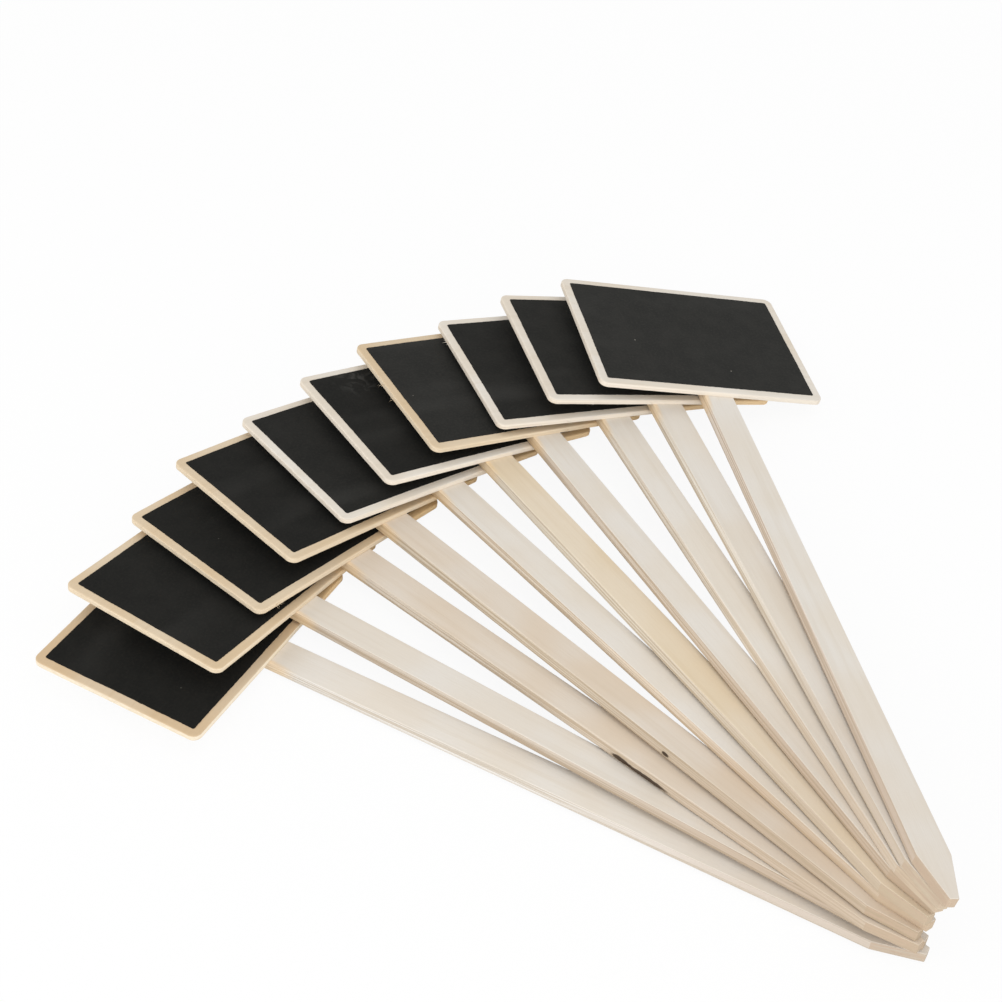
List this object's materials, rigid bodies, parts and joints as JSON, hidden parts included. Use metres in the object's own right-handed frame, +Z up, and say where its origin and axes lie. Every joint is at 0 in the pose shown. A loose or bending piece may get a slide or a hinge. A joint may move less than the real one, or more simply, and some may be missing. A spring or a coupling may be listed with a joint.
{
  "type": "plant label stake set",
  "caption": "Wooden plant label stakes laid in a fan, points together: each a blackboard panel with a bare wood border glued on a flat stick with a tapered tip.",
  "frame": {"origin": "on the ground under the middle of the fan's footprint", "axes": "+Z up out of the ground, +Y away from the tips towards the boards, +X to the right of the viewer"},
  "size_m": [0.3178, 0.3319, 0.0468],
  "materials": {
    "board_wood_cream": "raw pale cream softwood ply, fine straight grain, matt",
    "board_wood_tan": "raw tan softwood ply, a little darker and yellower, matt",
    "stick_wood_grey": "raw greyish cream lath, sanded, matt",
    "stick_wood_yellow": "raw yellowish lath, sanded, matt",
    "stick_wood_pink": "raw pinkish beige lath, sanded, matt",
    "stick_wood_cream": "raw cream lath, sanded, matt",
    "blackboard_paint": "rolled blackboard paint, matt charcoal black, faintly mottled"
  },
  "bodies": {
    "stake_01": {"stick_01": "stick_wood_cream", "board_01": "board_wood_tan", "writing_face_01": "blackboard_paint"},
    "stake_02": {"stick_02": "stick_wood_cream", "board_02": "board_wood_tan", "writing_face_02": "blackboard_paint"},
    "stake_03": {"stick_03": "stick_wood_pink", "board_03": "board_wood_tan", "writing_face_03": "blackboard_paint"},
    "stake_04": {"stick_04": "stick_wood_pink", "board_04": "board_wood_tan", "writing_face_04": "blackboard_paint"},
    "stake_05": {"stick_05": "stick_wood_grey", "board_05": "board_wood_cream", "writing_face_05": "blackboard_paint"},
    "stake_06": {"stick_06": "stick_wood_yellow", "board_06": "board_wood_cream", "writing_face_06": "blackboard_paint"},
    "stake_07": {"stick_07": "stick_wood_grey", "board_07": "board_wood_tan", "writing_face_07": "blackboard_paint"},
    "stake_08": {"stick_08": "stick_wood_grey", "board_08": "board_wood_cream", "writing_face_08": "blackboard_paint"},
    "stake_09": {"stick_09": "stick_wood_grey", "board_09": "board_wood_cream", "writing_face_09": "blackboard_paint"},
    "stake_10": {"stick_10": "stick_wood_grey", "board_10": "board_wood_cream", "writing_face_10": "blackboard_paint"}
  },
  "joints": [
    {"name": "lift_02", "type": "slide", "parent": "stake_01", "child": "stake_02", "axis": [0, 0, 1], "range_m": [0, 0.04]},
    {"name": "lift_03", "type": "slide", "parent": "stake_02", "child": "stake_03", "axis": [0, 0, 1], "range_m": [0, 0.04]},
    {"name": "lift_04", "type": "slide", "parent": "stake_03", "child": "stake_04", "axis": [0, 0, 1], "range_m": [0, 0.04]},
    {"name": "lift_05", "type": "slide", "parent": "stake_04", "child": "stake_05", "axis": [0, 0, 1], "range_m": [0, 0.04]},
    {"name": "lift_06", "type": "slide", "parent": "stake_05", "child": "stake_06", "axis": [0, 0, 1], "range_m": [0, 0.04]},
    {"name": "lift_07", "type": "slide", "parent": "stake_06", "child": "stake_07", "axis": [0, 0, 1], "range_m": [0, 0.04]},
    {"name": "lift_08", "type": "slide", "parent": "stake_07", "child": "stake_08", "axis": [0, 0, 1], "range_m": [0, 0.04]},
    {"name": "lift_09", "type": "slide", "parent": "stake_08", "child": "stake_09", "axis": [0, 0, 1], "range_m": [0, 0.04]},
    {"name": "lift_10", "type": "slide", "parent": "stake_09", "child": "stake_10", "axis": [0, 0, 1], "range_m": [0, 0.04]}
  ]
}
